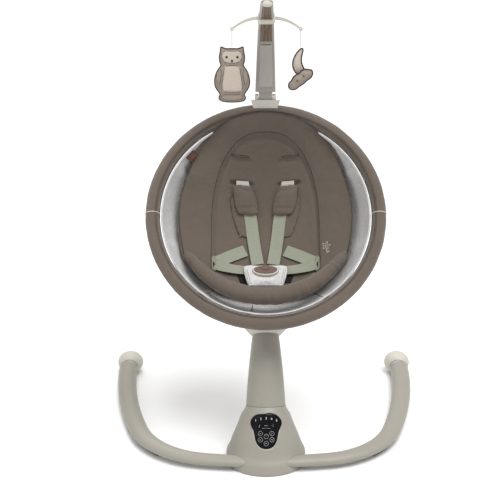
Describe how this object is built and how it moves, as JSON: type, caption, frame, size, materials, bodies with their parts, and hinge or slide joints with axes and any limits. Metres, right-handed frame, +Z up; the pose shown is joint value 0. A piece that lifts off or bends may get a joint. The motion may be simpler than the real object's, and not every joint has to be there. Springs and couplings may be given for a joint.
{
  "type": "baby swing",
  "caption": "Free-standing electric baby swing with a round reclining bucket seat, harness, tilting toy bar and C-shaped base.",
  "frame": {"origin": "on the floor, at the centre of the hub's base", "axes": "+Z up, +X towards the seated child's left, -Y towards the front"},
  "size_m": [0.7468, 0.5336, 0.982],
  "materials": {
    "shell_grey": "satin",
    "cream_plastic": "satin",
    "panel_glass": "gloss",
    "board": "satin",
    "dark_plastic": "matte",
    "copper": "satin",
    "steel": "brushed",
    "rubber": "matte",
    "brown_fabric": "woven",
    "grey_fabric": "heathered",
    "sage_webbing": "woven",
    "tag_leather": "matte",
    "wood": "satin",
    "buckle_brown": "satin",
    "toy_taupe": "velour",
    "toy_cream": "velour",
    "string_white": "twisted"
  },
  "bodies": {
    "base": {"hub_base_plate": "dark_plastic", "hub_foot_pad": "rubber", "hub_front_shell": "shell_grey", "hub_rear_shell": "shell_grey", "control_panel": "panel_glass", "control_board": "board", "speaker": "dark_plastic", "drive_coil": "copper", "spindle_housing": "dark_plastic", "spindle_bearings": "steel", "dc_inlet": "dark_plastic", "hub_screws": "steel", "base_joiner": "steel", "base_tube_left": "shell_grey", "base_tube_right": "shell_grey", "end_cap_left": "cream_plastic", "end_cap_right": "cream_plastic", "foot_strips": "rubber"},
    "leg": {"spindle": "steel", "magnet_arm": "steel", "drive_magnet": "steel", "leg_tube": "steel", "leg_front_shell": "shell_grey", "leg_rear_shell": "shell_grey", "pivot_knuckle": "steel"},
    "seat": {"seat_cup": "cream_plastic", "seat_shell": "cream_plastic", "recline_pin": "steel", "ring_upper_tube": "steel", "ring_lower_tube": "steel", "ring_joiners": "steel", "ring_cover_upper": "brown_fabric", "ring_cover_lower": "brown_fabric", "bowl_sling": "grey_fabric", "inlay_pad": "brown_fabric", "front_roll": "brown_fabric", "crotch_pad": "grey_fabric", "buckle_housing": "buckle_brown", "buckle_tongues": "dark_plastic", "shoulder_strap_left": "sage_webbing", "shoulder_strap_right": "sage_webbing", "waist_strap_left": "sage_webbing", "waist_strap_right": "sage_webbing", "shoulder_pad_left": "brown_fabric", "shoulder_pad_right": "brown_fabric", "side_tag": "tag_leather", "toy_bar_clip": "cream_plastic", "toy_bar_pin": "steel"},
    "button": {"buckle_button": "buckle_brown"},
    "bar": {"toy_bar": "shell_grey", "toy_bar_inlay": "wood", "toy_bar_tip": "cream_plastic", "toy_hanger": "cream_plastic"},
    "owl_line": {"owl_string": "string_white"},
    "owl": {"owl_toy": "toy_taupe"},
    "moon_line": {"moon_string": "string_white"},
    "moon": {"moon_toy": "toy_cream", "cloud_toy": "toy_taupe"}
  },
  "joints": [
    {"name": "seat_swing", "type": "hinge", "parent": "base", "child": "leg", "pos_m": [0, 0, 0], "axis": [0, 0.3762, 0.9265], "range_deg": [-15, 15]},
    {"name": "seat_recline", "type": "hinge", "parent": "leg", "child": "seat", "pos_m": [0, 0.15346, 0.28272], "axis": [-1, 0, 0], "range_deg": [0, 15]},
    {"name": "buckle_press", "type": "slide", "parent": "seat", "child": "button", "axis": [0, 0.5712, -0.8208], "range_m": [0, 0.003], "stiffness_N_per_m": 600, "springref_m": -0.0005},
    {"name": "toy_bar_tilt", "type": "hinge", "parent": "seat", "child": "bar", "pos_m": [0, 0.345, 0.736], "axis": [-1, 0, 0], "range_deg": [0, 75]},
    {"name": "owl_string_swing", "type": "hinge", "parent": "bar", "child": "owl_line", "pos_m": [-0.074, 0.26194, 0.90593], "axis": [1, 0, 0], "range_deg": [-40, 40]},
    {"name": "owl_toy_swing", "type": "hinge", "parent": "owl_line", "child": "owl", "pos_m": [-0.074, 0.26194, 0.86723], "axis": [0, 1, 0], "range_deg": [-20, 20]},
    {"name": "moon_string_swing", "type": "hinge", "parent": "bar", "child": "moon_line", "pos_m": [0.074, 0.26194, 0.90593], "axis": [1, 0, 0], "range_deg": [-40, 40]},
    {"name": "moon_toy_swing", "type": "hinge", "parent": "moon_line", "child": "moon", "pos_m": [0.074, 0.26194, 0.86723], "axis": [0, 1, 0], "range_deg": [-20, 20]}
  ]
}
